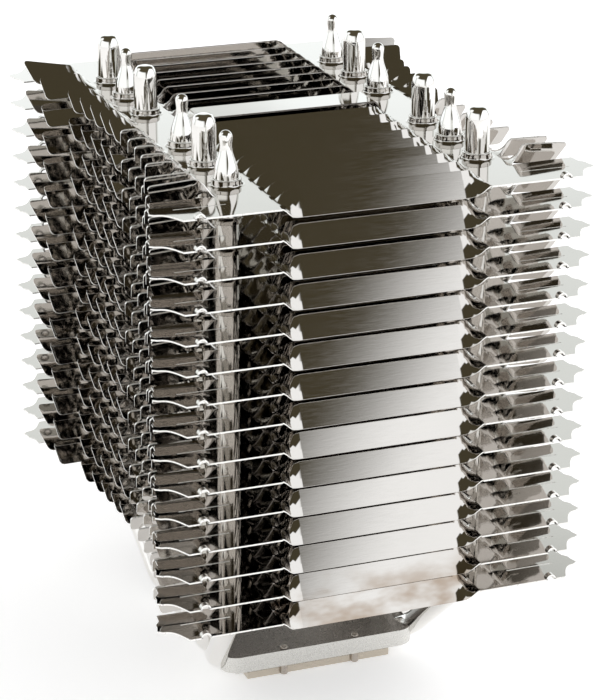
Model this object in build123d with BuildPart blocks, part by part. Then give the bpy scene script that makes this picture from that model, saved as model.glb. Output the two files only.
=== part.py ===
from build123d import *
import os
from math import cos, sin, radians

# Frame: origin at the middle of the contact face, +Z up through the fins, front at -Y.
# All sizes are millimetres.

# Fin stack
fin_count = 15
fin_pitch = 7.5
first_fin_height = 38.8
sheet = 0.4

# Fin plan, measured from its middle
fin_half_depth = 71.3
band_inner = 26.0
band_outer = 37.0
centre_strip_half = 5.15
centre_strip_rise = 3.4
centre_strip_ramp = 3.2
ledge_width = 1.5

# Corner wing outline from its root beside the last blade out to its tip, then a curve to the front edge
wing_side = ((37.0, -57.4), (53.4, -56.6), (53.7, -59.6), (54.9, -61.2), (55.0, -62.6), (55.6, -64.5))
wing_curve = ((54.4, -65.4), (52.0, -66.3), (50.5, -68.6), (49.4, -71.3))
wing_curve_start = (-1, -0.1)
wing_curve_end = (-0.45, -1)

# Slats across the middle of each fin
slats_per_side = 9
slat_kerf = 0.65
slat_tilt = 60.0
slat_twist_length = 4.2

# Blades along both sides of each fin: pitch, tilt and the reach of each tip
blade_pitch = 7.35
blade_kerf = 0.75
blade_tilt = 54.0
blade_twist_length = 4.0
short_blade_tips = (44.8, 45.1, 45.6, 46.2, 47.4)
tip_slant = 1.0
tip_corner = 1.1

# The two long blades beside each corner wing: middle, tip, slant, tilt, and lift at the root and the tip
long_blades = ((45.9, 51.5, 1.0, 55.0, 0.95, 0.7), (53.5, 53.1, 2.2, 59.0, 1.5, 0.75))
long_blade_width = 6.6

# The last blade at the back left is bent up further, the more so on the upper fins
bent_blade = (53.5, 53.9, 2.2, 50.0, 1.5)
bent_lift = 2.1
bent_upper_lifts = {11: 2.3, 12: 2.6, 13: 2.9, 14: 3.0, 15: 3.7}

# Slit in each wing and the small arched lip on its front edge
slit_width = 0.4
slit_from_edge = 8.0
slit_start = 36.8
slit_end = 49.4
lip_place = 45.4
lip_radius = 1.3
lip_depth = 1.6

# Heatpipes
pipe_radius = 3.0
leg_x = 31.9
leg_rows = (49.0, 32.5, 15.4)
base_rows = (21.5, 12.9, 4.3)
pipe_axis_height = 4.2
base_turn_x = 27.5
lower_turn_height = 30.8
lower_turn_radius = 18.0
base_turn_radius = 8.0
pipe_clearance = 0.05

# Collars drawn from the sheet around each pipe
collar_wall = 0.55
collar_height = 1.8

# Pipe ends above the top fin
blunt_end_height = 12.9
blunt_shoulder = 4.0
blunt_shoulder_inset = 0.55
blunt_top_radius = 1.5
drawn_end_height = 13.35
drawn_shoulder_inset = 0.45
drawn_neck_radius = 1.55
drawn_neck_length = 4.6

# Base
plate_x = 40.0
plate_y = 53.7
plate_thickness = 1.9
block_x = 53.7
block_y = 57.9
block_thickness = 4.55
block_corner = 4.5
step_x = 46.0
step_y = 53.2
step_height = 1.4
pin_radius = 1.0
pin_x = 10.0
pin_edge = 1.6
pin_clearance = 0.05
pin_floor_gap = 0.3
pin_dome = 0.5

# Sizes worked out from the ones above
top_fin_height = first_fin_height + (fin_count - 1) * fin_pitch
slat_pitch = (fin_half_depth - centre_strip_half) / slats_per_side
slat_width = slat_pitch - slat_kerf
blade_width = blade_pitch - blade_kerf
hole_radius = pipe_radius + pipe_clearance
collar_radius = hole_radius + collar_wall
block_top = plate_thickness + step_height + block_thickness
pin_y = block_y / 2 - pin_edge
pipe_names = "abcdef"
leg_y = [*leg_rows, *(-y for y in reversed(leg_rows))]
base_y = [*base_rows, *(-y for y in reversed(base_rows))]

os.makedirs("parts", exist_ok=True)


def cross_plane(x, y, z, tilt):
    """Plane across X whose local x axis is turned by tilt about X."""
    turn = radians(tilt)
    return Plane(origin=(x, y, z), x_dir=(0, cos(turn), sin(turn)), z_dir=(1, 0, 0))


# The strip across the middle, level with the bands at both ends and raised between them
def raised_strip():
    raised_to = band_inner - centre_strip_ramp
    with BuildPart() as strip:
        lifts = (
            (-band_inner, 0),
            (-raised_to, centre_strip_rise),
            (raised_to, centre_strip_rise),
            (band_inner, 0),
        )
        for x, z in lifts:
            with BuildSketch(cross_plane(x, 0, z, 0)):
                Rectangle(2 * centre_strip_half - slat_kerf, sheet)
        loft(ruled=True)
    return strip.part


# One slat, flat where it joins the bands and tilted between them
def twisted_slat():
    tilted_to = band_inner - slat_twist_length
    with BuildPart() as slat:
        turns = ((-band_inner, 0), (-tilted_to, slat_tilt), (tilted_to, slat_tilt), (band_inner, 0))
        for x, tilt in turns:
            with BuildSketch(cross_plane(x, 0, 0, tilt)):
                Rectangle(slat_width, sheet)
        loft(ruled=True)
    return slat.part


# One side blade at the right front: flat at its root, tilted front edge up, with a slanted rounded tip
def twisted_blade(width, y_middle, tip, slant, tilt, root_lift, tip_lift):
    tilted_from = band_outer + blade_twist_length
    half_height = width / 2 * sin(radians(tilt)) + sheet
    with BuildPart() as blade:
        for x, z, turn in ((band_outer, 0, 0), (tilted_from, root_lift, -tilt), (tip, tip_lift, -tilt)):
            with BuildSketch(cross_plane(x, -y_middle, z, turn)):
                Rectangle(width, sheet)
        loft(ruled=True)
        with BuildSketch(Plane.XZ.offset(y_middle)) as outline:
            with BuildLine():
                Polyline(
                    (band_outer - sheet, -half_height),
                    (band_outer - sheet, root_lift + half_height),
                    (tilted_from, root_lift + half_height),
                    (tip, tip_lift + half_height),
                    (tip - slant, tip_lift - half_height),
                    (tilted_from, -half_height),
                    close=True,
                )
            make_face()
            tip_points = outline.vertices().sort_by(Axis.X)[-2:]
            fillet(tip_points, radius=tip_corner)
        extrude(amount=width, both=True, mode=Mode.INTERSECT)
    return blade.part


# Flat areas of a quarter of the fin: band, ledge and corner wing
def flat_quarter():
    short_blades_end = blade_pitch * len(short_blade_tips)
    first_long = long_blades[0][0] - long_blade_width / 2
    with BuildSketch() as quarter:
        with BuildLine():
            Polyline(
                (band_inner, 0),
                (band_outer, 0),
                (band_outer, -short_blades_end),
                (band_outer + ledge_width, -short_blades_end - blade_kerf),
                (band_outer + ledge_width, -first_long + blade_kerf),
                (band_outer, -first_long),
                *wing_side,
                wing_curve[0],
            )
            Spline(*wing_curve, tangents=(wing_curve_start, wing_curve_end))
            Polyline(
                wing_curve[-1],
                (band_inner, -fin_half_depth),
                (band_inner, 0),
            )
        make_face()
    return quarter.sketch


# A whole fin sheet in its own frame, its middle plane at z = 0
def fin_sheet(back_left_lift):
    slat = twisted_slat()
    slat_rows = [centre_strip_half + (i + 0.5) * slat_pitch for i in range(slats_per_side)]
    front_right = [
        twisted_blade(blade_width, (i + 0.5) * blade_pitch, tip, tip_slant, blade_tilt, 0, 0)
        for i, tip in enumerate(short_blade_tips)
    ]
    front_right += [twisted_blade(long_blade_width, *spec) for spec in long_blades]
    front_left = [blade.mirror(Plane.YZ) for blade in front_right]
    back_right = [blade.mirror(Plane.XZ) for blade in front_right]
    bent = twisted_blade(long_blade_width, *bent_blade, back_left_lift)
    back_left = [blade.mirror(Plane.XZ) for blade in front_left[:-1]]
    back_left.append(bent.mirror(Plane.YZ).mirror(Plane.XZ))
    front_slats = [slat.moved(Location((0, -y, 0))) for y in slat_rows]
    back_slats = [blade.mirror(Plane.XZ) for blade in front_slats]
    quarter = flat_quarter()
    slit_middle = (slit_start + slit_end) / 2
    slit_y = fin_half_depth - slit_from_edge
    lip_y = fin_half_depth - lip_depth / 2
    corners = ((-1, -1), (-1, 1), (1, -1), (1, 1))

    with BuildPart() as fin:
        with BuildSketch(Plane.XY.offset(-sheet / 2)):
            add(quarter)
            mirror(about=Plane.YZ)
            mirror(about=Plane.XZ)
        extrude(amount=sheet)
        add(raised_strip())
        add(front_slats + back_slats)
        add(front_right + front_left + back_right + back_left)

        # Collars and the holes through them
        with BuildSketch(Plane.XY):
            with Locations(*((x, y) for x in (-leg_x, leg_x) for y in leg_y)):
                Circle(collar_radius)
        extrude(amount=collar_height)
        with BuildSketch(Plane.XY.offset(-sheet)):
            with Locations(*((x, y) for x in (-leg_x, leg_x) for y in leg_y)):
                Circle(hole_radius)
        extrude(amount=sheet + collar_height, mode=Mode.SUBTRACT)

        # Wing slits, and the gaps under the arched lips
        with BuildSketch(Plane.XY.offset(-sheet)):
            with Locations(*((s * slit_middle, t * slit_y) for s, t in corners)):
                Rectangle(slit_end - slit_start, slit_width)
            with Locations(*((s * lip_place, t * lip_y) for s, t in corners)):
                Rectangle(2 * (lip_radius - sheet), lip_depth)
        extrude(amount=2 * sheet, mode=Mode.SUBTRACT)

        # Arched lips on the front and back edges
        for edge_plane in (Plane.XZ.offset(fin_half_depth - lip_depth), Plane.XZ.offset(-fin_half_depth)):
            with BuildSketch(edge_plane):
                with Locations((-lip_place, 0), (lip_place, 0)):
                    Circle(lip_radius)
                    Circle(lip_radius - sheet, mode=Mode.SUBTRACT)
                with Locations((0, -lip_radius)):
                    Rectangle(4 * lip_place, 2 * lip_radius, mode=Mode.SUBTRACT)
            extrude(amount=lip_depth)
    return fin.part


# Route of one heatpipe: down, inwards to its row in the base, through it and up again
def pipe_route(y_leg, y_base):
    corners = [
        (-leg_x, y_leg, top_fin_height + collar_height),
        (-leg_x, y_leg, lower_turn_height),
        (-base_turn_x, y_base, pipe_axis_height),
        (base_turn_x, y_base, pipe_axis_height),
        (leg_x, y_leg, lower_turn_height),
        (leg_x, y_leg, top_fin_height + collar_height),
    ]
    radii = [lower_turn_radius, base_turn_radius, base_turn_radius, lower_turn_radius]
    with BuildLine() as route:
        FilletPolyline(*corners, radius=radii)
    return route


def swept_round(y_leg, y_base, radius):
    route = pipe_route(y_leg, y_base)
    with BuildPart() as tube:
        with BuildSketch(Plane(origin=route.line @ 0, z_dir=route.line % 0)):
            Circle(radius)
        sweep(path=route.line)
    return tube.part


# Blunt pipe end: a straight tube with a rounded shoulder and a small flat top
def blunt_end():
    rise = blunt_end_height - collar_height
    with BuildPart() as end:
        with BuildSketch(Plane.XZ):
            with BuildLine():
                Polyline(
                    (blunt_top_radius, rise),
                    (0, rise),
                    (0, 0),
                    (pipe_radius, 0),
                    (pipe_radius, rise - blunt_shoulder),
                )
                Spline(
                    (pipe_radius, rise - blunt_shoulder),
                    (pipe_radius - blunt_shoulder_inset, rise - blunt_shoulder * 0.3),
                    (blunt_top_radius, rise),
                    tangents=((0, 1), (-1, 0.25)),
                )
            make_face()
        revolve(axis=Axis.Z)
    return end.part


# Drawn pipe end: a cone that runs into a thin neck with a round tip
def drawn_end():
    rise = drawn_end_height - collar_height
    neck_start = rise - drawn_neck_length
    with BuildPart() as end:
        with BuildSketch(Plane.XZ):
            with BuildLine():
                Polyline((0, rise), (0, 0), (pipe_radius, 0))
                Spline(
                    (pipe_radius, 0),
                    (pipe_radius - drawn_shoulder_inset, neck_start * 0.5),
                    (drawn_neck_radius, neck_start),
                    tangents=((0, 1), (-0.15, 1)),
                )
                Line((drawn_neck_radius, neck_start), (drawn_neck_radius, rise - drawn_neck_radius))
                RadiusArc((drawn_neck_radius, rise - drawn_neck_radius), (0, rise), -drawn_neck_radius)
            make_face()
        revolve(axis=Axis.Z)
    return end.part


# Fins, all alike but for the lift of one back blade
usual_fin = fin_sheet(bent_lift)
upper_fins = {number: fin_sheet(lift) for number, lift in bent_upper_lifts.items()}
for number in range(1, fin_count + 1):
    height = first_fin_height + (number - 1) * fin_pitch
    with BuildPart() as fin:
        add(upper_fins.get(number, usual_fin).moved(Location((0, 0, height))))
    fin.part.label = f"fin_{number:02d}"
    export_step(fin.part, f"parts/{fin.part.label}.step")

# Heatpipes, back to front, with blunt and drawn ends by turns
blunt = blunt_end()
drawn = drawn_end()
end_height = top_fin_height + collar_height
for i, (y_leg, y_base) in enumerate(zip(leg_y, base_y)):
    left_end, right_end = (blunt, drawn) if i % 2 == 0 else (drawn, blunt)
    with BuildPart() as pipe:
        add(swept_round(y_leg, y_base, pipe_radius))
        add(left_end.moved(Location((-leg_x, y_leg, end_height))))
        add(right_end.moved(Location((leg_x, y_leg, end_height))))
    pipe.part.label = f"heatpipe_{pipe_names[i]}"
    export_step(pipe.part, f"parts/{pipe.part.label}.step")

grooves = [swept_round(y_leg, y_base, hole_radius) for y_leg, y_base in zip(leg_y, base_y)]
pin_places = [(x, y) for x in (-pin_x, pin_x) for y in (-pin_y, pin_y)]

# Base block over a smaller step, with a groove for each pipe and a hole for each pin
with BuildPart() as base_block:
    with BuildSketch(Plane.XY.offset(plate_thickness)):
        Rectangle(step_x, step_y)
    extrude(amount=step_height)
    with BuildSketch(Plane.XY.offset(plate_thickness + step_height)):
        RectangleRounded(block_x, block_y, block_corner)
    extrude(amount=block_thickness)
    add(grooves, mode=Mode.SUBTRACT)
    with BuildSketch(Plane.XY):
        with Locations(*pin_places):
            Circle(pin_radius + pin_clearance)
    extrude(amount=block_top, mode=Mode.SUBTRACT)
base_block.part.label = "base_block"
export_step(base_block.part, "parts/base_block.step")

# Contact plate, with shallow grooves and a half round notch at each pin
with BuildPart() as contact_plate:
    with BuildSketch(Plane.XY):
        Rectangle(plate_x, plate_y)
    extrude(amount=plate_thickness)
    add(grooves, mode=Mode.SUBTRACT)
    with BuildSketch(Plane.XY):
        with Locations(*pin_places):
            Circle(pin_radius + pin_clearance)
    extrude(amount=plate_thickness, mode=Mode.SUBTRACT)
contact_plate.part.label = "contact_plate"
export_step(contact_plate.part, "parts/contact_plate.step")

# Pins, just clear of the surface under the plate and domed above the block
with BuildPart() as base_pins:
    with BuildSketch(Plane.XY.offset(pin_floor_gap)):
        with Locations(*pin_places):
            Circle(pin_radius)
    extrude(amount=block_top - pin_floor_gap + pin_dome)
    fillet(base_pins.edges().filter_by(GeomType.CIRCLE).group_by(Axis.Z)[-1], radius=pin_dome * 0.8)
base_pins.part.label = "base_pins"
export_step(base_pins.part, "parts/base_pins.step")
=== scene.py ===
"""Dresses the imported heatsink: louvred fins, heatpipes, base and a plain studio."""

import math
import random

import bmesh
import bpy
from mathutils import Matrix, Vector
from mathutils.geometry import interpolate_bezier


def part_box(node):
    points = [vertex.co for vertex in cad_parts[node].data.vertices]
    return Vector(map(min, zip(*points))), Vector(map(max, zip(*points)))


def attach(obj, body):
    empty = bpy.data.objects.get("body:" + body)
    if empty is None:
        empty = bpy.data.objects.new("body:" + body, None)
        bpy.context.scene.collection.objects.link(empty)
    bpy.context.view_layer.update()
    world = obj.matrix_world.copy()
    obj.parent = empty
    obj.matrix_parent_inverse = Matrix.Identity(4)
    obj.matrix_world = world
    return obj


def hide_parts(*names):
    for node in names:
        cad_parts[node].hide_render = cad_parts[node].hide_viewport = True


bl_info = {
    "name": "Passive Heatsink Finish",
    "version": (1, 0, 0),
    "blender": (4, 5, 0),
    "location": "3D View > Sidebar > Heatsink",
    "description": "Louvred fins, heatpipes, base finishes and a plain studio for a passive heatsink",
    "category": "Object",
}

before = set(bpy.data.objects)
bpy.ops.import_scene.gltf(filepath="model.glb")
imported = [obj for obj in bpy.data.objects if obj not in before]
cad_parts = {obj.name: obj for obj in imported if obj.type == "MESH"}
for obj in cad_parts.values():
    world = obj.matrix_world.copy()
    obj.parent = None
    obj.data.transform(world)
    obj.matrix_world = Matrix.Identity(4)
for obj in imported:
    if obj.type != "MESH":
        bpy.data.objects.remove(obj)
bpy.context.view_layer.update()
MM = 0.001
FIN_NODES = sorted(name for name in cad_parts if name.startswith("fin_"))
PIPE_NODES = sorted(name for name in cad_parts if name.startswith("heatpipe_"))
FIRST_FIN_HEIGHT = 38.8 * MM
FIN_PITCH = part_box(FIN_NODES[1])[0].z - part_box(FIN_NODES[0])[0].z
LEG_X = 31.9 * MM
LEG_ROWS = (49.0, 32.5, 15.4)
BOTH_LEG_ROWS = (*LEG_ROWS, *(-y for y in LEG_ROWS))
BASE_ROWS = (21.5, 12.9, 4.3)


def length(name, description, default):
    return bpy.props.FloatProperty(name=name, description=description, default=default, unit="LENGTH")


def angle(name, description, degrees):
    return bpy.props.FloatProperty(
        name=name, description=description, default=math.radians(degrees), unit="ROTATION"
    )


def number(name, description, default, low=0.0, high=10.0):
    return bpy.props.FloatProperty(name=name, description=description, default=default, min=low, max=high)


def colour(name, description, default):
    return bpy.props.FloatVectorProperty(
        name=name, description=description, default=default, size=3, subtype="COLOR", min=0.0, max=1.0
    )


class FinSizes(bpy.types.PropertyGroup):
    sheet: length("Sheet", "Thickness of the fin sheet", 0.4 * MM)
    half_depth: length("Half Depth", "From the middle of a fin to its front edge", 71.3 * MM)
    band_inner: length("Band Inner Edge", "Where the slats join the flat side band", 26.0 * MM)
    band_outer: length("Band Outer Edge", "Where the side blades join the flat side band", 37.0 * MM)
    strip_half: length("Centre Strip", "Half of the room for the strip across the middle", 5.15 * MM)
    strip_rise: length("Strip Rise", "How far the centre strip is raised", 3.4 * MM)
    strip_ramp: length("Strip Ramp", "Length over which the centre strip rises", 3.2 * MM)
    edge_bevel: length("Edge Bevel", "Small bevel along the long edges of a slat", 0.045 * MM)
    slat_kerf: length("Slat Gap", "Width of the cut between two slats", 0.65 * MM)
    slat_tilt: angle("Slat Tilt", "How far each slat is turned", 60.0)
    slat_twist: length("Slat Twist Length", "Length over which a slat turns from flat to tilted", 4.4 * MM)
    blade_pitch: length("Blade Pitch", "Spacing of the short side blades", 7.35 * MM)
    blade_kerf: length("Blade Gap", "Width of the cut between two side blades", 0.75 * MM)
    blade_twist: length("Blade Twist Length", "Length over which a blade turns from flat to tilted", 4.4 * MM)
    blade_tilt: angle("Blade Tilt", "How far the short side blades are turned", 54.0)
    tip_slant: length("Tip Slant", "How much further the raised corner of a blade reaches", 1.0 * MM)
    tip_round: length("Tip Rounding", "Radius of the corners at a blade's tip", 1.1 * MM)
    collar_radius: length("Collar Radius", "Outer radius of the collar round a pipe", 3.6 * MM)
    collar_height: length("Collar Height", "Height of the collar above the middle of the sheet", 1.8 * MM)
    unevenness: number("Unevenness", "How much single blades differ, as a share of the usual spread", 1.0)


class PipeSizes(bpy.types.PropertyGroup):
    radius: length("Radius", "Outer radius of a heatpipe", 3.0 * MM)
    leg_x: length("Leg Spacing", "From the middle to the upright part of each pipe", LEG_X)
    turn_x: length("Base Turn", "From the middle to the corner where a pipe leaves the base", 27.5 * MM)
    axis_height: length("Height in Base", "Height of the pipe's axis in the base", 4.2 * MM)
    turn_height: length("Lower Turn Height", "Height of the corner under the fins", 30.8 * MM)
    upper_bend: length("Upper Bend", "Bend radius under the fins", 18.0 * MM)
    lower_bend: length("Lower Bend", "Bend radius where a pipe leaves the base", 8.0 * MM)
    blunt_rise: length("Blunt End", "Rise of a blunt end above the top fin", 12.9 * MM)
    drawn_rise: length("Drawn End", "Rise of a drawn end above the top fin", 13.35 * MM)


class Finishes(bpy.types.PropertyGroup):
    sheet: colour("Fin Sheet", "Dark polished nickel on the fins", (0.56, 0.535, 0.505))
    cut_edge: colour("Cut Edge", "Bare punched edge of the sheet", (0.92, 0.91, 0.88))
    tarnish: colour("Tarnish", "Heat tint on the two lowest fins", (0.33, 0.265, 0.21))
    slat_rim: colour("Slat Rim", "Darker cut edge of the slats", (0.36, 0.33, 0.305))
    pipe: colour("Heatpipe", "Polished nickel on the pipes", (0.78, 0.765, 0.74))
    block: colour("Base Block", "Fine matte aluminium", (0.72, 0.71, 0.68))
    # Painted shade: the upper face of the block is coloured darker, for the shade under the fins.
    block_top_shade: colour("Block Top Shade", "Painted shade on the upper face of the block", (0.27, 0.25, 0.23))
    plate: colour("Contact Plate", "Satin nickel of the contact plate", (0.60, 0.54, 0.46))
    pins: colour("Pins", "Plain steel of the base pins", (0.5, 0.45, 0.4))


class StageSizes(bpy.types.PropertyGroup):
    azimuth: angle("Camera Azimuth", "Turn of the camera to the left of the front", 20.273)
    elevation: angle("Camera Elevation", "How far the camera looks down", 21.168)
    roll: angle("Camera Roll", "Roll of the camera", 0.078)
    eye: bpy.props.FloatVectorProperty(
        name="Camera Place",
        description="Where the camera stands",
        default=(-206.6 * MM, -573.8 * MM, 316.7 * MM),
        size=3,
        unit="LENGTH",
    )
    lens: bpy.props.FloatProperty(name="Lens", description="Focal length in millimetres", default=127.52)
    floor: colour("Floor", "Pale floor under the object", (0.88, 0.88, 0.88))
    floor_glow: number("Floor Glow", "Own light of the floor to the camera and in the metal", 0.42)
    key_power: number("Key Lamp", "Power of the large soft lamp, in watts", 6.0, 0.0, 100.0)
    studio_level: number("Studio Level", "Brightness of the plain surroundings", 0.85)


class Bench:
    """Adds nodes to one tree and joins them up."""

    def __init__(self, tree):
        self.tree = tree

    def pick(self, sockets, key):
        if isinstance(key, int):
            return sockets[key]
        return next(s for s in sockets if s.name == key and s.enabled)

    def add(self, kind, *values, named=None, **settings):
        node = self.tree.nodes.new(kind)
        for key, value in settings.items():
            setattr(node, key, value)
        for key, value in [*enumerate(values), *(named or {}).items()]:
            socket = self.pick(node.inputs, key)
            if isinstance(value, bpy.types.Node):
                value = value.outputs[0]
            if isinstance(value, bpy.types.NodeSocket):
                self.tree.links.new(value, socket)
            else:
                socket.default_value = value
        return node

    def math(self, operation, *values):
        return self.add("ShaderNodeMath", *values, operation=operation).outputs[0]

    def spread(self, value, low, high, to_low=0.0, to_high=1.0, **settings):
        return self.add("ShaderNodeMapRange", value, low, high, to_low, to_high, **settings).outputs[0]

    def ramp(self, value, low, high, to_low=0.0, to_high=1.0):
        return self.spread(value, low, high, to_low, to_high, interpolation_type="SMOOTHSTEP")

    def xyz(self, x, y, z):
        return self.add("ShaderNodeCombineXYZ", x, y, z).outputs[0]

    def split(self, vector):
        return self.add("ShaderNodeSeparateXYZ", vector).outputs

    def place(self):
        return self.add("ShaderNodeTexCoord").outputs["Object"]

    def noise(self, density, detail=2.0, roughness=0.5):
        """Noise on object coordinates, with its own density along each axis, per metre."""
        vector = self.add("ShaderNodeMapping", self.place(), named={"Scale": density})
        named = {"Vector": vector, "Scale": 1.0, "Detail": detail, "Roughness": roughness}
        return self.add("ShaderNodeTexNoise", named=named).outputs[0]

    def bump(self, height, strength, distance):
        named = {"Strength": strength, "Distance": distance, "Height": height}
        return self.add("ShaderNodeBump", named=named).outputs[0]

    def mix(self, factor, a, b):
        """Mixes two colours, each a socket or three numbers."""
        node = self.add("ShaderNodeMix", data_type="RGBA")
        for key, value in (("Factor", factor), ("A", a), ("B", b)):
            socket = self.pick(node.inputs, key)
            if isinstance(value, bpy.types.NodeSocket):
                self.tree.links.new(value, socket)
            else:
                socket.default_value = (*value, 1.0)
        return self.pick(node.outputs, "Result")


# Materials


# Where the heat tint and the darker slat rims lie on a fin, in millimetres from its middle
TINT_START = 60.0
SLAT_REACH = 26.0
DARK_RIM_REACH = 25.9
DARK_RIM_DEPTH = 69.6


def metal(name, base):
    """A metallic material; its finish adds the roughness."""
    material = bpy.data.materials.new(name)
    material.use_nodes = True
    shader = material.node_tree.nodes["Principled BSDF"]
    shader.inputs["Base Color"].default_value = (*base, 1.0)
    shader.inputs["Metallic"].default_value = 1.0
    return material, shader, Bench(material.node_tree)


def feed(bench, value, shader, name):
    bench.tree.links.new(value, shader.inputs[name])


def sheet_metal(finish):
    """Polished dark nickel with rolling marks along the slats, and heat tint low down."""
    material, shader, bench = metal("Polished dark nickel", finish.sheet)
    grain = bench.noise((260, 2600, 2600), 3.0, 0.6)
    cloud = bench.noise((40, 40, 40))
    stain = bench.noise((70, 110, 160), 3.0, 0.55)
    across, depth, height = bench.split(bench.place())
    low = bench.ramp(height, FIRST_FIN_HEIGHT + 1.7 * FIN_PITCH, FIRST_FIN_HEIGHT + 0.3 * FIN_PITCH)
    front = bench.math("LESS_THAN", depth, -TINT_START * MM)
    middle = bench.math("LESS_THAN", bench.math("ABSOLUTE", across), SLAT_REACH * MM)
    strip = bench.math("MULTIPLY", front, middle)
    stained = bench.math("MULTIPLY", bench.math("MULTIPLY", low, strip), bench.ramp(stain, 0.34, 0.66))
    darker = tuple(c * 0.96 for c in finish.sheet)
    lighter = tuple(min(1, c * 1.04) for c in finish.sheet)
    base = bench.mix(cloud, darker, lighter)
    feed(bench, bench.mix(stained, base, tuple(finish.tarnish)), shader, "Base Color")
    feed(bench, bench.ramp(grain, 0.25, 0.75, 0.03, 0.07), shader, "Roughness")
    feed(bench, bench.bump(grain, 0.06, 0.00002), shader, "Normal")
    return material


def cut_edge_metal(finish):
    """Punched edge, bright except along the inner slats."""
    material, shader, bench = metal("Punched bright edge", finish.cut_edge)
    shader.inputs["Metallic"].default_value = 0.6
    nicks = bench.noise((900, 900, 900))
    across, depth, _ = bench.split(bench.place())
    slats = bench.math("LESS_THAN", bench.math("ABSOLUTE", across), DARK_RIM_REACH * MM)
    inner = bench.math("GREATER_THAN", depth, -DARK_RIM_DEPTH * MM)
    slats = bench.math("MULTIPLY", slats, inner)
    feed(bench, bench.mix(slats, tuple(finish.cut_edge), tuple(finish.slat_rim)), shader, "Base Color")
    feed(bench, bench.ramp(nicks, 0.3, 0.7, 0.25, 0.45), shader, "Roughness")
    return material


def pipe_metal(finish):
    """Polished nickel with faint ripples from drawing."""
    material, shader, bench = metal("Polished pipe nickel", finish.pipe)
    ripple = bench.noise((160, 160, 50))
    feed(bench, bench.bump(ripple, 0.35, 0.0002), shader, "Normal")
    feed(bench, bench.ramp(ripple, 0.3, 0.7, 0.03, 0.08), shader, "Roughness")
    return material


def block_metal(finish):
    """Matte aluminium with fine grit, and painted shade on its upper face."""
    material, shader, bench = metal("Fine matte aluminium", finish.block)
    grit = bench.noise((2500, 2500, 2500), 3.0)
    feed(bench, bench.bump(grit, 0.1, 0.00005), shader, "Normal")
    feed(bench, bench.ramp(grit, 0.3, 0.7, 0.24, 0.34), shader, "Roughness")
    height = bench.split(bench.place())["Z"]
    # Painted shade: faces at the block's top get the darker colour, for the shade under the fins.
    top = bench.math("GREATER_THAN", height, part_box("base_block")[1].z - 0.05 * MM)
    feed(bench, bench.mix(top, tuple(finish.block), tuple(finish.block_top_shade)), shader, "Base Color")
    return material


def plate_metal(finish):
    """Satin nickel with a lay across the plate."""
    material, shader, bench = metal("Satin contact nickel", finish.plate)
    lay = bench.noise((80, 3000, 300))
    feed(bench, bench.ramp(lay, 0.3, 0.7, 0.18, 0.32), shader, "Roughness")
    return material


def pin_metal(finish):
    """Plain steel with light wear."""
    material, shader, bench = metal("Plain pin steel", finish.pins)
    wear = bench.noise((1500, 1500, 1500))
    feed(bench, bench.ramp(wear, 0.3, 0.7, 0.24, 0.4), shader, "Roughness")
    return material


# Meshes


def object_from(bm, name):
    mesh = bpy.data.meshes.new(name)
    bm.to_mesh(mesh)
    bm.free()
    piece = bpy.data.objects.new(name, mesh)
    bpy.context.scene.collection.objects.link(piece)
    return piece


def tree_values(tree, modifier, values):
    """Sets a modifier's inputs by the identifier of each named socket."""
    for item in tree.interface.items_tree:
        if item.item_type == "SOCKET" and item.in_out == "INPUT" and item.name in values:
            modifier[item.identifier] = values[item.name]


def baked(source, tree, values, name, crease=40.0):
    """Runs the tree on the source and returns the result as a plain, outward, smooth mesh."""
    modifier = source.modifiers.new("Shape", "NODES")
    modifier.node_group = tree
    tree_values(tree, modifier, values)
    depsgraph = bpy.context.evaluated_depsgraph_get()
    depsgraph.update()
    mesh = bpy.data.meshes.new_from_object(source.evaluated_get(depsgraph), depsgraph=depsgraph)
    source.modifiers.remove(modifier)
    mesh.name = name
    bm = bmesh.new()
    bm.from_mesh(mesh)
    bmesh.ops.recalc_face_normals(bm, faces=bm.faces[:])
    bm.to_mesh(mesh)
    bm.free()
    mesh.shade_smooth()
    mesh.set_sharp_from_angle(angle=math.radians(crease))
    piece = bpy.data.objects.new(name, mesh)
    bpy.context.scene.collection.objects.link(piece)
    return piece


def discard(*things):
    for thing in things:
        data = thing.data
        bpy.data.objects.remove(thing)
        if isinstance(data, bpy.types.Mesh):
            bpy.data.meshes.remove(data)
        else:
            bpy.data.curves.remove(data)


# Fins


# Millimetres and degrees. A blade's row is its middle, reach, slant, tilt, root lift and tip lift.
WING_SIDE = ((54.4, 65.4), (55.6, 64.5), (55.0, 62.6), (54.9, 61.2), (53.7, 59.6), (53.4, 56.6), (37.0, 57.4))
SHORT_REACH = (44.8, 45.1, 45.6, 46.2, 47.4)
LONG_WIDTH = 6.6
LONG_BLADES = ((45.9, 51.5, 1.0, 55.0, 0.95, 0.7), (53.5, 53.1, 2.2, 59.0, 1.5, 0.75))
BENT_BLADE = (53.5, 53.9, 2.2, 50.0, 1.5, 2.1)
BENT_UPPER_LIFTS = {"fin_11": 2.3, "fin_12": 2.6, "fin_13": 2.9, "fin_14": 3.0, "fin_15": 3.7}
REACH_SPREAD = 0.15
TILT_SPREAD = 1.3
ROOT_SPREAD = 0.08
TIP_SPREAD = 0.12
SLAT_COUNT = 9
SLAT_SPREAD = 0.7
HOLE_RADIUS = 4.5
ROUND_STEPS = 32
LIP_MIDDLE = 45.4
LIP_NOTCH = (44.5, 46.3)
LIP_RADIUS = 1.3
LIP_DEPTH = 1.6
SLIT_FROM_EDGE = 8.0
SLIT = ((36.8, -0.2), (49.4, -0.2), (49.4, 0.2), (36.8, 0.2))


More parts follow.
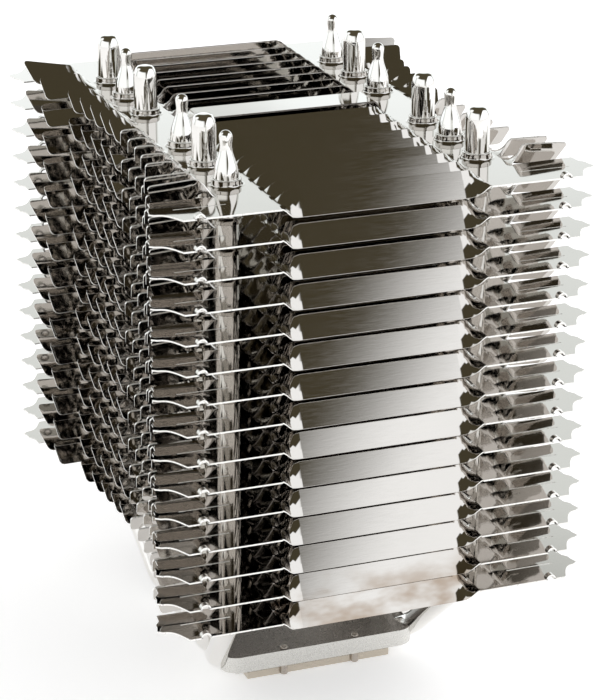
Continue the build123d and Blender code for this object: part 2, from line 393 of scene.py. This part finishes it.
def fin_outline(sizes):
    """Outline of the flat parts of a fin's right side, anticlockwise, in metres."""
    side = sizes.band_outer / MM
    front = sizes.half_depth / MM
    inner = sizes.band_inner / MM
    curl = interpolate_bezier(
        Vector((49.4, front, 0)), Vector((50.9, 68.2, 0)), Vector((51.6, 65.6, 0)), Vector((54.4, 65.4, 0)), 9
    )
    blades_end = len(SHORT_REACH) * sizes.blade_pitch / MM
    ledge = side + 1.5
    start, stop = LIP_NOTCH
    quarter = [(inner, front)]
    quarter += [(start, front), (start, front - LIP_DEPTH), (stop, front - LIP_DEPTH), (stop, front)]
    quarter += [(p.x, p.y) for p in curl[:-1]]
    quarter += WING_SIDE
    quarter += [(side, 42.6), (ledge, 41.85), (ledge, blades_end + 0.75), (side, blades_end)]
    right = [(x, -y) for x, y in quarter] + [(x, y) for x, y in reversed(quarter)]
    return [Vector((x * MM, y * MM, 0)) for x, y in right]


def ring_points(x, y, radius, count):
    turns = [math.tau * i / count for i in range(count)]
    return [Vector((x + radius * math.cos(t), y + radius * math.sin(t), 0)) for t in turns]


def flat_plate(sizes):
    """The flat parts of a fin with pipe holes and wing slits; a face attribute marks the cut edges."""
    bm = bmesh.new()
    right = fin_outline(sizes)
    loops = [right, [-p for p in right]]
    for sx in (-1, 1):
        for y in BOTH_LEG_ROWS:
            loops.append(ring_points(sx * LEG_X, y * MM, HOLE_RADIUS * MM, ROUND_STEPS))
        for sy in (-1, 1):
            y = sy * (sizes.half_depth - SLIT_FROM_EDGE * MM)
            loops.append([Vector((sx * x * MM, y + dy * MM, 0)) for x, dy in SLIT])
    for loop in loops:
        verts = [bm.verts.new((p.x, p.y, -sizes.sheet / 2)) for p in loop]
        for a, b in zip(verts, verts[1:] + verts[:1]):
            bm.edges.new((a, b))
    bmesh.ops.triangle_fill(bm, edges=bm.edges[:], use_beauty=True, normal=(0, 0, 1))
    grown = bmesh.ops.extrude_face_region(bm, geom=bm.faces[:])["geom"]
    upper = [v for v in grown if isinstance(v, bmesh.types.BMVert)]
    bmesh.ops.translate(bm, verts=upper, vec=(0, 0, sizes.sheet))
    bmesh.ops.recalc_face_normals(bm, faces=bm.faces[:])
    cut = bm.faces.layers.float.new("cut_edge")
    for face in bm.faces:
        face[cut] = 0.0 if abs(face.normal.z) > 0.5 else 1.0
    for sx in (-1, 1):
        for sy in (-1, 1):
            lip(bm, cut, sx * LIP_MIDDLE * MM, sy * sizes.half_depth, -sy * LIP_DEPTH * MM, sizes.sheet)
    raised_strip(bm, cut, sizes)
    return object_from(bm, "Flat plate")


def raised_strip(bm, cut, sizes):
    """The strip across the middle, level with the bands at its ends and raised between them."""
    half = sizes.strip_half - sizes.slat_kerf / 2
    steps = 12
    places = []
    for i in range(steps + 1):
        share = i / steps
        rise = sizes.strip_rise * share * share * (3 - 2 * share)
        places.append((sizes.band_inner - sizes.strip_ramp * share, rise))
    places += [(-x, rise) for x, rise in reversed(places)]
    rings = []
    for x, rise in places:
        corners = ((-half, -1), (half, -1), (half, 1), (-half, 1))
        rings.append([bm.verts.new((x, y, rise + side * sizes.sheet / 2)) for y, side in corners])
    for ring, after in zip(rings, rings[1:]):
        for i in range(4):
            j = (i + 1) % 4
            face = bm.faces.new((ring[i], ring[j], after[j], after[i]))
            face[cut] = float(i % 2)
    for ring in (rings[0], rings[-1]):
        bm.faces.new(ring)


def lip(bm, cut, x, y, depth, sheet):
    """A small half-round lip pressed up out of the fin's edge."""
    count = 10
    rings = []
    for along in (0.0, depth):
        for radius in (LIP_RADIUS * MM, LIP_RADIUS * MM - sheet):
            ring = []
            for i in range(count + 1):
                turn = math.pi * i / count
                ring.append(bm.verts.new((x + radius * math.cos(turn), y + along, radius * math.sin(turn))))
            rings.append(ring)
    for a, b, edge in ((0, 1, 1.0), (3, 2, 1.0), (2, 0, 0.0), (1, 3, 0.0)):
        for i in range(count):
            face = bm.faces.new((rings[a][i], rings[b][i], rings[b][i + 1], rings[a][i + 1]))
            face[cut] = edge
    for i in (0, count):
        bm.faces.new((rings[0][i], rings[1][i], rings[3][i], rings[2][i]))


def turned(profile, count, name):
    """A closed ring turned about Z from a closed (radius, height, edge) profile in millimetres."""
    bm = bmesh.new()
    cut = bm.faces.layers.float.new("cut_edge")
    rings = []
    for radius, height, _ in profile:
        rings.append([bm.verts.new((p.x, p.y, height * MM)) for p in ring_points(0, 0, radius * MM, count)])
    for k, ring in enumerate(rings):
        after = rings[(k + 1) % len(rings)]
        for i in range(count):
            j = (i + 1) % count
            face = bm.faces.new((ring[i], ring[j], after[j], after[i]))
            face[cut] = profile[k][2]
    bmesh.ops.recalc_face_normals(bm, faces=bm.faces[:])
    return object_from(bm, name)


def pipe_collar(sizes):
    """The collar round one pipe, drawn up out of the sheet."""
    radius = sizes.collar_radius / MM
    top = sizes.collar_height / MM
    half = sizes.sheet / MM / 2
    profile = [
        (HOLE_RADIUS, -half, 0.0),
        (HOLE_RADIUS, half, 0.0),
        (radius + 0.62, half + 0.01, 0.0),
        (radius + 0.34, half + 0.06, 0.0),
        (radius + 0.12, half + 0.2, 0.0),
        (radius + 0.02, half + 0.45, 0.0),
        (radius, half + 0.8, 0.0),
        (radius, top - 0.08, 0.0),
        (radius - 0.08, top, 1.0),
        (3.13, top, 0.0),
        (3.05, top - 0.08, 0.0),
        (3.05, -half, 0.0),
    ]
    return turned(profile, ROUND_STEPS, "Pipe collar")


def loose_points(name, places, values):
    """Bare points that carry one value each in every named attribute."""
    mesh = bpy.data.meshes.new(name)
    mesh.from_pydata(places, [], [])
    for key, numbers in values.items():
        mesh.attributes.new(key, "FLOAT", "POINT").data.foreach_set("value", numbers)
    points = bpy.data.objects.new(name, mesh)
    bpy.context.scene.collection.objects.link(points)
    return points


def blade_points(sizes, node):
    """Where each side blade of a fin starts, with its shape and which way it faces."""
    uneven = random.Random(node)
    short_width = (sizes.blade_pitch - sizes.blade_kerf) / MM
    usual_tilt = math.degrees(sizes.blade_tilt)
    rows = []
    for i, reach in enumerate(SHORT_REACH):
        middle = (i + 0.5) * sizes.blade_pitch / MM
        rows.append((short_width, middle, reach, sizes.tip_slant / MM, usual_tilt, 0.0, 0.0))
    rows += [(LONG_WIDTH, *row) for row in LONG_BLADES]
    bent = [LONG_WIDTH, *BENT_BLADE]
    bent[-1] = BENT_UPPER_LIFTS.get(node, bent[-1])
    spread = sizes.unevenness
    places = []
    keys = ("reach", "width", "slant", "tilt", "root_lift", "tip_lift", "side", "end")
    values = {key: [] for key in keys}
    for side in (-1, 1):
        for end in (-1, 1):
            corner = [*rows[:-1], bent] if side < 0 < end else rows
            for width, middle, reach, slant, tilt, root_lift, tip_lift in corner:
                places.append((side * sizes.band_outer, end * middle * MM, 0.0))
                one = (
                    (reach - uneven.uniform(0, REACH_SPREAD) * spread) * MM,
                    width * MM,
                    slant * MM,
                    math.radians(tilt + uneven.uniform(-TILT_SPREAD, TILT_SPREAD) * spread),
                    (root_lift + uneven.uniform(-ROOT_SPREAD, ROOT_SPREAD) * spread) * MM,
                    (tip_lift + uneven.uniform(-TIP_SPREAD, TIP_SPREAD) * spread) * MM,
                    side,
                    end,
                )
                for key, value in zip(keys, one):
                    values[key].append(value)
    return loose_points("Blade places", places, values)


def new_tree(name, inputs):
    """A Geometry Nodes tree with a geometry in and out and the named inputs of each kind."""
    tree = bpy.data.node_groups.new(name, "GeometryNodeTree")
    tree.interface.new_socket("Geometry", in_out="INPUT", socket_type="NodeSocketGeometry")
    for kind, labels in inputs.items():
        for label in labels:
            tree.interface.new_socket(label, in_out="INPUT", socket_type="NodeSocket" + kind)
    tree.interface.new_socket("Geometry", in_out="OUTPUT", socket_type="NodeSocketGeometry")
    bench = Bench(tree)
    start = bench.add("NodeGroupInput")
    return tree, bench, {socket.name: socket for socket in start.outputs if socket.name}


def attribute(bench, name):
    return bench.add("GeometryNodeInputNamedAttribute", named={"Name": name}, data_type="FLOAT").outputs[0]


def store(bench, geometry, name, value, domain="POINT"):
    named = {"Geometry": geometry, "Name": name, "Value": value}
    return bench.add("GeometryNodeStoreNamedAttribute", named=named, data_type="FLOAT", domain=domain)


def place_parts(bench):
    return bench.split(bench.add("GeometryNodeInputPosition"))


def sheet_block(bench, size, counts):
    """A thin closed block of sheet whose rim faces are marked as cut edges."""
    named = {"Size": size, "Vertices X": counts[0], "Vertices Y": counts[1], "Vertices Z": 2}
    block = bench.add("GeometryNodeMeshCube", named=named)
    normal = bench.add("GeometryNodeInputNormal").outputs[0]
    up = bench.math("ABSOLUTE", bench.split(normal)["Z"])
    return store(bench, block, "cut_edge", bench.math("LESS_THAN", up, 0.5), "FACE")


def bevelled(bench, given, half_width):
    """Gives a slat's two long edges a small bevel; returns its new place.

    The slat's six rows stand at 0.2, 0.6 and 1 of its half width. The middle ones go to the bevel's start.
    """
    x, y, z = place_parts(bench)
    share = bench.math("DIVIDE", y, half_width)
    out = bench.math("ABSOLUTE", share)
    bevel = bench.math("DIVIDE", given["Edge Bevel"], half_width)
    flat = bench.math("SUBTRACT", 1.0, bevel)
    inner = bench.spread(out, 0.2, 0.6, 0.33, flat)
    outer = bench.spread(out, 0.6, 1.0, 0.0, bevel)
    reach = bench.math("MULTIPLY", bench.math("ADD", inner, outer), half_width)
    new_y = bench.math("MULTIPLY", reach, bench.math("SIGN", share))
    cut = bench.math("DIVIDE", given["Edge Bevel"], bench.math("MULTIPLY", given["Sheet"], 0.5))
    thinner = bench.math("MULTIPLY", bench.math("GREATER_THAN", out, 0.8), cut)
    new_z = bench.math("MULTIPLY", z, bench.math("SUBTRACT", 1.0, thinner))
    return x, new_y, new_z


# A block shrunk to this scale is a point, so the stored values alone give the blade its shape
SPECK = 1e-6


def fin_tree():
    """Slats, side blades and pipe collars added to the flat plate of a fin."""
    places = ("Height", "Half Depth", "Band Inner", "Band Outer", "Strip Half")
    slats = ("Sheet", "Slat Gap", "Slat Tilt", "Slat Twist", "Edge Bevel", "Uneven Tilt")
    inputs = {
        "Float": (*places, *slats, "Blade Twist", "Tip Round"),
        "Int": ("Slat Count", "Seed"),
        "Object": ("Blades", "Collar", "Legs"),
        "Material": ("Sheet Metal", "Cut Edge Metal"),
    }
    tree, bench, given = new_tree("Louvred fin", inputs)
    span = bench.math("SUBTRACT", given["Half Depth"], given["Strip Half"])
    pitch = bench.math("DIVIDE", span, given["Slat Count"])
    width = bench.math("SUBTRACT", pitch, given["Slat Gap"])
    size = bench.xyz(bench.math("MULTIPLY", given["Band Inner"], 2.0), width, given["Sheet"])
    strip = sheet_block(bench, size, (33, 6))
    x, y, z = bevelled(bench, given, bench.math("MULTIPLY", width, 0.5))
    share = bench.math("MULTIPLY", bench.math("DIVIDE", x, given["Band Inner"]), math.pi / 2)
    along = bench.math("MULTIPLY", bench.math("SINE", share), given["Band Inner"])
    inward = bench.math("SUBTRACT", given["Band Inner"], bench.math("ABSOLUTE", along))
    turn = bench.math("MULTIPLY", bench.ramp(inward, 0.0, given["Slat Twist"]), given["Slat Tilt"])
    groups = []
    for end in (-1.0, 1.0):
        turned_place = bench.add(
            "ShaderNodeVectorRotate",
            bench.xyz(along, y, z),
            named={"Angle": bench.math("MULTIPLY", turn, -end)},
            rotation_type="X_AXIS",
        )
        slat = bench.add("GeometryNodeSetPosition", strip, named={"Position": turned_place})
        first = bench.math("MULTIPLY_ADD", pitch, 0.5, given["Strip Half"])
        line = bench.add(
            "GeometryNodeMeshLine",
            named={
                "Count": given["Slat Count"],
                "Start Location": bench.xyz(0.0, bench.math("MULTIPLY", first, end), 0.0),
                "Offset": bench.xyz(0.0, bench.math("MULTIPLY", pitch, end), 0.0),
            },
        )
        most = bench.xyz(given["Uneven Tilt"], 0.0, 0.0)
        least = bench.xyz(bench.math("MULTIPLY", given["Uneven Tilt"], -1.0), 0.0, 0.0)
        named = {"Min": least, "Max": most, "Seed": bench.math("ADD", given["Seed"], 40.0 * end)}
        nudge = bench.add("FunctionNodeRandomValue", named=named, data_type="FLOAT_VECTOR")
        named = {"Instance": slat, "Rotation": nudge}
        groups.append(bench.add("GeometryNodeInstanceOnPoints", line, named=named))

    block = sheet_block(bench, (1.0, 1.0, 1.0), (12, 9))
    x, y, z = place_parts(bench)
    block = store(bench, block, "along", bench.math("ADD", x, 0.5))
    block = store(bench, block, "across", y)
    block = store(bench, block, "through", z)
    roots = bench.add("GeometryNodeObjectInfo", named={"Object": given["Blades"]}).outputs["Geometry"]
    named = {"Instance": block, "Scale": (SPECK, SPECK, SPECK)}
    blades = bench.add("GeometryNodeInstanceOnPoints", roots, named=named)
    blades = bench.add("GeometryNodeRealizeInstances", blades)
    side = attribute(bench, "side")
    end = attribute(bench, "end")
    wide = attribute(bench, "width")
    lean = bench.math("SINE", bench.math("MULTIPLY", attribute(bench, "across"), math.pi))
    lean = bench.math("MULTIPLY", lean, 0.5)
    raised = bench.math("MULTIPLY", lean, end)
    margin = bench.math("MULTIPLY", bench.math("SUBTRACT", 0.5, bench.math("ABSOLUTE", lean)), wide)
    inset = bench.math("MAXIMUM", bench.math("SUBTRACT", given["Tip Round"], margin), 0.0)
    radius_squared = bench.math("MULTIPLY", given["Tip Round"], given["Tip Round"])
    reach_in = bench.math("SUBTRACT", radius_squared, bench.math("MULTIPLY", inset, inset))
    rounding = bench.math("SUBTRACT", given["Tip Round"], bench.math("SQRT", reach_in))
    slant = bench.math("MULTIPLY", bench.math("SUBTRACT", 0.5, raised), attribute(bench, "slant"))
    reach = attribute(bench, "reach")
    tip = bench.math("SUBTRACT", bench.math("SUBTRACT", reach, slant), rounding)
    out = bench.math("POWER", attribute(bench, "along"), 1.4)
    run = bench.math("MULTIPLY", bench.math("SUBTRACT", tip, given["Band Outer"]), out)
    full = bench.ramp(run, 0.0, given["Blade Twist"])
    tilt = bench.math("MULTIPLY", bench.math("MULTIPLY", attribute(bench, "tilt"), end), full)
    flat_y = bench.math("MULTIPLY", lean, wide)
    flat_z = bench.math("MULTIPLY", attribute(bench, "through"), given["Sheet"])
    cosine = bench.math("COSINE", tilt)
    sine = bench.math("SINE", tilt)
    new_y = bench.math(
        "SUBTRACT", bench.math("MULTIPLY", flat_y, cosine), bench.math("MULTIPLY", flat_z, sine)
    )
    new_z = bench.math(
        "ADD", bench.math("MULTIPLY", flat_y, sine), bench.math("MULTIPLY", flat_z, cosine)
    )
    usual = bench.math("SUBTRACT", reach, given["Band Outer"])
    root_lift = attribute(bench, "root_lift")
    beyond = bench.spread(run, given["Blade Twist"], usual)
    gain = bench.math("MULTIPLY", beyond, bench.math("SUBTRACT", attribute(bench, "tip_lift"), root_lift))
    rise = bench.math("MULTIPLY_ADD", full, root_lift, gain)
    offset = bench.xyz(bench.math("MULTIPLY", run, side), new_y, bench.math("ADD", new_z, rise))
    blades = bench.add("GeometryNodeSetPosition", blades, named={"Offset": offset})
    groups.append(blades)

    collar = bench.add("GeometryNodeObjectInfo", named={"Object": given["Collar"]}).outputs["Geometry"]
    legs = bench.add("GeometryNodeObjectInfo", named={"Object": given["Legs"]}).outputs["Geometry"]
    groups.append(bench.add("GeometryNodeInstanceOnPoints", legs, named={"Instance": collar}))
    joined = bench.add("GeometryNodeJoinGeometry")
    for part in (given["Geometry"], *groups):
        output = part if isinstance(part, bpy.types.NodeSocket) else part.outputs[0]
        tree.links.new(output, joined.inputs[0])
    raised_fin = bench.add(
        "GeometryNodeTransform", joined, named={"Translation": bench.xyz(0.0, 0.0, given["Height"])}
    )
    whole = bench.add("GeometryNodeRealizeInstances", raised_fin)
    whole = bench.add("GeometryNodeSetMaterial", whole, named={"Material": given["Sheet Metal"]})
    edge = bench.math("GREATER_THAN", attribute(bench, "cut_edge"), 0.5)
    whole = bench.add(
        "GeometryNodeSetMaterial", whole, named={"Selection": edge, "Material": given["Cut Edge Metal"]}
    )
    bench.add("NodeGroupOutput", whole)
    return tree


class HEATSINK_OT_fins(bpy.types.Operator):
    """Makes every fin with its twisted slats, side blades and collars"""

    bl_idname = "heatsink.fins"
    bl_label = "Louvred Fins"

    def execute(self, context):
        sizes = context.scene.heatsink_fins
        finish = context.scene.heatsink_finishes
        tree = fin_tree()
        plate = flat_plate(sizes)
        collar = pipe_collar(sizes)
        places = [(sx * LEG_X, y * MM, 0) for sx in (-1, 1) for y in BOTH_LEG_ROWS]
        legs = loose_points("Leg places", places, {})
        sheet = sheet_metal(finish)
        edge = cut_edge_metal(finish)
        for i, node in enumerate(FIN_NODES):
            blades = blade_points(sizes, node)
            values = {
                "Height": FIRST_FIN_HEIGHT + i * FIN_PITCH,
                "Sheet": sizes.sheet,
                "Half Depth": sizes.half_depth,
                "Slat Count": SLAT_COUNT,
                "Slat Gap": sizes.slat_kerf,
                "Slat Tilt": sizes.slat_tilt,
                "Slat Twist": sizes.slat_twist,
                "Band Inner": sizes.band_inner,
                "Band Outer": sizes.band_outer,
                "Strip Half": sizes.strip_half,
                "Edge Bevel": sizes.edge_bevel,
                "Uneven Tilt": math.radians(SLAT_SPREAD) * sizes.unevenness,
                "Seed": i,
                "Blade Twist": sizes.blade_twist,
                "Tip Round": sizes.tip_round,
                "Blades": blades,
                "Collar": collar,
                "Legs": legs,
                "Sheet Metal": sheet,
                "Cut Edge Metal": edge,
            }
            piece = baked(plate, tree, values, "louvred_" + node)
            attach(piece, "root")
            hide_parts(node)
            discard(blades)
        discard(plate, collar, legs)
        return {"FINISHED"}


# Heatpipes


# Millimetres: the radius that the end profiles are drawn for, and the heights that part the bends
PIPE_RADIUS = 3.0
LOWER_BENDS_BELOW = 15.0
BENDS_BELOW = 60.0


def blunt_profile(rise):
    """Heights over the fin and radii, in millimetres, of a blunt end from its top down."""
    shoulder = 4.0
    steps = [(rise, 0.02), (rise, 1.0), (rise - 0.05, 1.3)]
    for i in range(1, 15):
        t = 1 - i / 14
        steps.append((rise - shoulder * (1 - t), 1.4 + 1.6 * math.sqrt(max(0.0, 1 - t**2.4))))
    return steps


def drawn_profile(rise):
    """Heights and radii of a drawn end: a round nipple on a thin neck over a cone."""
    ball = 1.6
    steps = [(rise, 0.02)]
    for i in range(1, 8):
        turn = math.pi / 2 * i / 7
        steps.append((rise - ball * (1 - math.cos(turn)), ball * math.sin(turn)))
    steps += [(rise - 2.4, 1.52), (rise - 3.3, 1.42), (rise - 4.2, 1.42), (rise - 5.0, 1.55)]
    cone_top = rise - 5.0
    for i in range(1, 11):
        t = i / 10
        steps.append((cone_top - t * (cone_top - 2.4), 1.55 + 1.45 * math.sin(t * math.pi / 2) ** 1.25))
    return steps


def pipe_line(sizes, y_leg, y_base, left, right, top):
    """Corner points of one pipe, with its taper held in the radius of its end points."""
    points = [(-sizes.leg_x, y_leg, top + h * MM, r) for h, r in left]
    points += [
        (-sizes.leg_x, y_leg, sizes.turn_height, PIPE_RADIUS),
        (-sizes.turn_x, y_base, sizes.axis_height, PIPE_RADIUS),
        (sizes.turn_x, y_base, sizes.axis_height, PIPE_RADIUS),
        (sizes.leg_x, y_leg, sizes.turn_height, PIPE_RADIUS),
    ]
    points += [(sizes.leg_x, y_leg, top + h * MM, r) for h, r in reversed(right)]
    curve = bpy.data.curves.new("Pipe line", "CURVE")
    curve.dimensions = "3D"
    spline = curve.splines.new("POLY")
    spline.points.add(len(points) - 1)
    for point, (x, y, z, radius) in zip(spline.points, points):
        point.co = (x, y, z, 1)
        point.radius = radius / PIPE_RADIUS
    line = bpy.data.objects.new("Pipe line", curve)
    bpy.context.scene.collection.objects.link(line)
    return line


def pipe_tree():
    """Rounds the corners of a pipe's line and gives it its round wall."""
    inputs = {"Float": ("Radius", "Upper Bend", "Lower Bend"), "Material": ("Metal",)}
    tree, bench, given = new_tree("Heatpipe", inputs)
    height = place_parts(bench)["Z"]
    low = bench.math("LESS_THAN", height, LOWER_BENDS_BELOW * MM)
    change = bench.math("SUBTRACT", given["Lower Bend"], given["Upper Bend"])
    bend = bench.math("MULTIPLY_ADD", low, change, given["Upper Bend"])
    bend = bench.math("MULTIPLY", bend, bench.math("LESS_THAN", height, BENDS_BELOW * MM))
    rounded = bench.add(
        "GeometryNodeFilletCurve",
        given["Geometry"],
        named={"Count": 14, "Radius": bend, "Limit Radius": True},
        mode="POLY",
    )
    ring = bench.add("GeometryNodeCurvePrimitiveCircle", named={"Resolution": 40, "Radius": given["Radius"]})
    taper = bench.add("GeometryNodeInputRadius")
    named = {"Profile Curve": ring, "Scale": taper, "Fill Caps": True}
    wall = bench.add("GeometryNodeCurveToMesh", rounded, named=named)
    whole = bench.add("GeometryNodeRealizeInstances", wall)
    whole = bench.add("GeometryNodeSetMaterial", whole, named={"Material": given["Metal"]})
    bench.add("NodeGroupOutput", whole)
    return tree


class HEATSINK_OT_pipes(bpy.types.Operator):
    """Makes the heatpipes with their blunt and drawn ends"""

    bl_idname = "heatsink.pipes"
    bl_label = "Heatpipes"

    def execute(self, context):
        sizes = context.scene.heatsink_pipes
        tree = pipe_tree()
        chrome = pipe_metal(context.scene.heatsink_finishes)
        top = FIRST_FIN_HEIGHT + (len(FIN_NODES) - 1) * FIN_PITCH
        blunt = blunt_profile(sizes.blunt_rise / MM)
        drawn = drawn_profile(sizes.drawn_rise / MM)
        rows = list(zip(LEG_ROWS, BASE_ROWS))
        rows += [(-leg, -base) for leg, base in reversed(rows)]
        for i, (node, (y_leg, y_base)) in enumerate(zip(PIPE_NODES, rows)):
            left, right = (blunt, drawn) if i % 2 == 0 else (drawn, blunt)
            line = pipe_line(sizes, y_leg * MM, y_base * MM, left, right, top)
            values = {
                "Radius": sizes.radius,
                "Upper Bend": sizes.upper_bend,
                "Lower Bend": sizes.lower_bend,
                "Metal": chrome,
            }
            piece = baked(line, tree, values, "polished_" + node, 50.0)
            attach(piece, "root")
            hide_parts(node)
            discard(line)
        return {"FINISHED"}


# Base


class HEATSINK_OT_base(bpy.types.Operator):
    """Finishes the base block, the contact plate and the pins"""

    bl_idname = "heatsink.base"
    bl_label = "Base"

    def execute(self, context):
        finish = context.scene.heatsink_finishes
        coats = {"base_block": block_metal, "contact_plate": plate_metal, "base_pins": pin_metal}
        for node, make in coats.items():
            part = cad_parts[node]
            coat = make(finish)
            if not part.material_slots:
                part.data.materials.append(coat)
            for slot in part.material_slots:
                slot.material = coat
        return {"FINISHED"}


# Stage


def camera_turn(sizes):
    """Rotation of the camera from its azimuth, elevation and roll."""
    az, el, roll = sizes.azimuth, sizes.elevation, sizes.roll
    ahead = Vector((math.sin(az) * math.cos(el), math.cos(az) * math.cos(el), -math.sin(el)))
    across = Vector((math.cos(az), -math.sin(az), 0))
    up = across.cross(ahead)
    right = across * math.cos(roll) + up * math.sin(roll)
    above = up * math.cos(roll) - across * math.sin(roll)
    return Matrix((right, above, -ahead)).transposed()


def facing(bench, direction, target):
    """How squarely a direction of the surroundings faces the target, from -1 to 1."""
    unit = Vector(target).normalized()
    return bench.add("ShaderNodeVectorMath", direction, tuple(unit), operation="DOT_PRODUCT").outputs["Value"]


# What polished metal mirrors: a dark room, a soft box at the side, pale panels and a backdrop
DARK_ROOM = (0.088, 0.075, 0.045)
SOFT_BOX = (1.5, 1.54, 1.58)
PALE_PANEL = (1.3, 1.33, 1.33)
LOW_BACKDROP = (1.40, 1.48, 1.5)
HIGH_BACKDROP = (1.1, 1.16, 1.155)
WHITE = (1.0, 1.0, 1.0, 1.0)


def studio_world(sizes):
    """White to the camera, plain to matt surfaces, and a room with a soft box to polished ones."""
    world = bpy.data.worlds.new("Studio")
    world.use_nodes = True
    bench = Bench(world.node_tree)
    world.node_tree.nodes.clear()
    way = bench.add("ShaderNodeTexCoord").outputs["Generated"]
    side_box = bench.ramp(facing(bench, way, (0.818, -0.052, -0.573)), -0.022, 0.034)
    side_end = bench.ramp(facing(bench, way, (0.62, -0.78, 0.0)), 0.45, 0.6)
    side_box = bench.math("MULTIPLY", side_box, side_end)
    height = bench.split(way)["Z"]
    low = bench.ramp(height, 0.52, 0.4)
    back = bench.math("MULTIPLY", bench.ramp(facing(bench, way, (0.1, 0.99, 0.1)), 0.15, 0.5), low)
    left = bench.math("MULTIPLY", bench.ramp(facing(bench, way, (-0.85, -0.5, 0.1)), 0.5, 0.8), low)
    leaf = bench.ramp(facing(bench, way, (-0.72, 0.33, 0.6)), 0.93, 0.97)
    backdrop = bench.mix(bench.ramp(height, 0.25, 0.32), LOW_BACKDROP, HIGH_BACKDROP)
    room = bench.mix(side_box, DARK_ROOM, SOFT_BOX)
    room = bench.mix(bench.math("MAXIMUM", left, leaf), room, PALE_PANEL)
    room = bench.mix(back, room, backdrop)
    path = bench.add("ShaderNodeLightPath").outputs
    plain = bench.add("ShaderNodeBackground", WHITE, sizes.studio_level)
    mirrored = bench.add("ShaderNodeBackground", room, 1.0)
    white = bench.add("ShaderNodeBackground", WHITE, 1.0)
    seen = bench.add("ShaderNodeMixShader", path["Is Glossy Ray"], plain, mirrored)
    seen = bench.add("ShaderNodeMixShader", path["Is Camera Ray"], seen, white)
    bench.add("ShaderNodeOutputWorld", seen)
    bpy.context.scene.world = world


def stage_floor(sizes):
    """A plain pale floor that also looks pale in the metal."""
    bm = bmesh.new()
    bmesh.ops.create_grid(bm, x_segments=1, y_segments=1, size=3.0)
    floor = object_from(bm, "Floor")
    material = bpy.data.materials.new("Pale floor")
    material.use_nodes = True
    shader = material.node_tree.nodes["Principled BSDF"]
    shader.inputs["Base Color"].default_value = (*sizes.floor, 1.0)
    shader.inputs["Roughness"].default_value = 0.9
    shader.inputs["Emission Color"].default_value = WHITE
    bench = Bench(material.node_tree)
    path = bench.add("ShaderNodeLightPath").outputs
    seen = bench.math("MAXIMUM", path["Is Camera Ray"], path["Is Glossy Ray"])
    seen = bench.math("MAXIMUM", seen, path["Is Transmission Ray"])
    feed(bench, bench.math("MULTIPLY", seen, sizes.floor_glow), shader, "Emission Strength")
    floor.data.materials.append(material)


def key_lamp(power):
    """One large soft lamp, left out of the metal's reflections."""
    lamp = bpy.data.lights.new("Key lamp", "AREA")
    lamp.shape = "RECTANGLE"
    lamp.size = 1.0
    lamp.size_y = 1.0
    lamp.energy = power
    holder = bpy.data.objects.new("Key lamp", lamp)
    place = Vector((0.9, -0.6, 1.0))
    target = Vector((0, 0, 0.08))
    holder.location = place
    holder.rotation_euler = (target - place).to_track_quat("-Z", "Y").to_euler()
    holder.visible_glossy = False
    bpy.context.scene.collection.objects.link(holder)


class HEATSINK_OT_stage(bpy.types.Operator):
    """Sets up the pale floor, the soft studio light and the camera"""

    bl_idname = "heatsink.stage"
    bl_label = "Studio"

    def execute(self, context):
        sizes = context.scene.heatsink_stage
        studio_world(sizes)
        stage_floor(sizes)
        key_lamp(sizes.key_power)
        camera = bpy.data.cameras.new("Camera")
        camera.sensor_width = 36.0
        camera.lens = sizes.lens
        camera.clip_start = 0.01
        holder = bpy.data.objects.new("Camera", camera)
        holder.matrix_world = Matrix.Translation(Vector(sizes.eye)) @ camera_turn(sizes).to_4x4()
        context.scene.collection.objects.link(holder)
        context.scene.camera = holder
        context.scene.view_settings.view_transform = "Standard"
        return {"FINISHED"}


class HEATSINK_PT_panel(bpy.types.Panel):
    """Lists the steps that dress the heatsink"""

    bl_label = "Heatsink"
    bl_idname = "HEATSINK_PT_panel"
    bl_space_type = "VIEW_3D"
    bl_region_type = "UI"
    bl_category = "Heatsink"

    def draw(self, context):
        for step in STEPS:
            self.layout.operator(step.bl_idname)


GROUPS = {
    "heatsink_fins": FinSizes,
    "heatsink_pipes": PipeSizes,
    "heatsink_finishes": Finishes,
    "heatsink_stage": StageSizes,
}
STEPS = (HEATSINK_OT_fins, HEATSINK_OT_pipes, HEATSINK_OT_base, HEATSINK_OT_stage)


def register():
    for kind in (*GROUPS.values(), *STEPS, HEATSINK_PT_panel):
        bpy.utils.register_class(kind)
    for name, kind in GROUPS.items():
        setattr(bpy.types.Scene, name, bpy.props.PointerProperty(type=kind))


def unregister():
    for name in GROUPS:
        delattr(bpy.types.Scene, name)
    for kind in reversed((*GROUPS.values(), *STEPS, HEATSINK_PT_panel)):
        bpy.utils.unregister_class(kind)


def main():
    register()
    bpy.ops.heatsink.fins()
    bpy.ops.heatsink.pipes()
    bpy.ops.heatsink.base()
    bpy.ops.heatsink.stage()


if __name__ == "__main__":
    main()
